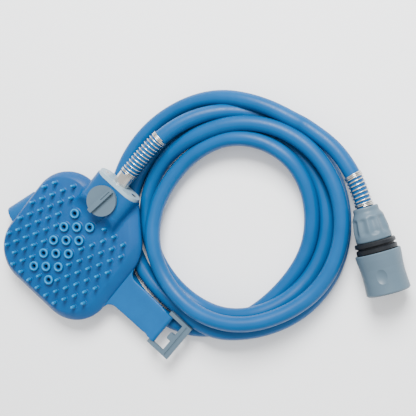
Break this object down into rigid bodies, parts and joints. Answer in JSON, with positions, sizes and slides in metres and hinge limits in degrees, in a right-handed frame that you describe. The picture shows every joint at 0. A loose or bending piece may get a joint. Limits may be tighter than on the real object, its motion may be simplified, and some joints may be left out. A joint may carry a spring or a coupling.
{
  "type": "wearable bath sprayer",
  "caption": "Palm-worn silicone scrub pad with spray nozzles, strap and buckle, on a coiled hose with a click connector.",
  "frame": {"origin": "centre of the head's footprint (pad, neck, straps and buckle) on the surface it lies on", "axes": "+X towards the buckle, +Y towards the hose inlet, +Z out of the scrubbing face"},
  "size_m": [0.2937, 0.261, 0.0418],
  "materials": {
    "blue_silicone": "satin",
    "blue_plastic": "satin",
    "hose_vinyl": "glossy",
    "grey_plastic": "satin",
    "pale_plastic": "satin",
    "black_plastic": "satin",
    "white_plastic": "satin",
    "steel": "polished",
    "brass": "machined",
    "seal_rubber": "matt"
  },
  "bodies": {
    "sprayer": {"scrub_pad": "blue_silicone", "buckle_strap": "blue_silicone", "tail_strap": "blue_silicone", "nozzle_plate": "blue_plastic", "chamber_seal": "seal_rubber", "main_body": "blue_plastic", "rear_cover": "blue_plastic", "cover_screws": "steel", "plunger_seal": "seal_rubber", "button_spring": "steel", "end_plate": "pale_plastic", "end_screws": "steel", "inlet_nipple": "brass", "inlet_seal": "seal_rubber", "head_ferrule": "steel", "head_spring": "steel", "hose_lead": "hose_vinyl", "hose_coil": "hose_vinyl", "hose_tail": "hose_vinyl", "tail_spring": "steel", "clamp_ring": "white_plastic", "hose_tail_barb": "black_plastic", "connector_body": "black_plastic", "sleeve_spring": "steel", "socket_seal": "seal_rubber"},
    "knob": {"flow_knob": "grey_plastic", "valve_plug": "white_plastic", "plug_seal": "seal_rubber"},
    "button": {"palm_button": "grey_plastic", "plunger": "white_plastic"},
    "strap_buckle": {"buckle": "grey_plastic"},
    "sleeve": {"release_sleeve": "grey_plastic"},
    "nut": {"hose_nut": "grey_plastic"},
    "claw_1": {"lock_claw_1": "white_plastic"},
    "claw_2": {"lock_claw_2": "white_plastic"},
    "claw_3": {"lock_claw_3": "white_plastic"}
  },
  "joints": [
    {"name": "flow_knob_turn", "type": "hinge", "parent": "sprayer", "child": "knob", "pos_m": [-0.02573, 0.03665, 0.0354], "axis": [0, 0, 1], "range_deg": [-80, 10]},
    {"name": "palm_button_press", "type": "slide", "parent": "sprayer", "child": "button", "axis": [0, 0, 1], "range_m": [0, 0.003], "stiffness_N_per_m": 600, "springref_m": -0.003, "deforming": ["button_spring"]},
    {"name": "buckle_swing", "type": "hinge", "parent": "sprayer", "child": "strap_buckle", "pos_m": [0.07377, -0.01455, 0.0172], "axis": [0, -1, 0], "range_deg": [0, 120]},
    {"name": "sleeve_pull", "type": "slide", "parent": "sprayer", "child": "sleeve", "axis": [-0.8291, 0.5591, 0], "range_m": [0, 0.005], "stiffness_N_per_m": 1500, "springref_m": -0.002, "deforming": ["sleeve_spring"]},
    {"name": "nut_turn", "type": "hinge", "parent": "sprayer", "child": "nut", "pos_m": [0.13497, 0.16725, 0.0177], "axis": [0.8291, -0.5591, 0], "range_deg": [0, 360]},
    {"name": "claw_1_release", "type": "slide", "parent": "sprayer", "child": "claw_1", "axis": [-0.5591, -0.8291, 0], "range_m": [0, 0.0009]},
    {"name": "claw_2_release", "type": "slide", "parent": "sprayer", "child": "claw_2", "axis": [0.2795, 0.4146, -0.866], "range_m": [0, 0.0009]},
    {"name": "claw_3_release", "type": "slide", "parent": "sprayer", "child": "claw_3", "axis": [0.2795, 0.4146, 0.866], "range_m": [0, 0.0009]}
  ],
  "couplings": [
    {"joint": "claw_1_release", "follows": "sleeve_pull", "ratio": 0.16},
    {"joint": "claw_2_release", "follows": "sleeve_pull", "ratio": 0.16},
    {"joint": "claw_3_release", "follows": "sleeve_pull", "ratio": 0.16}
  ]
}
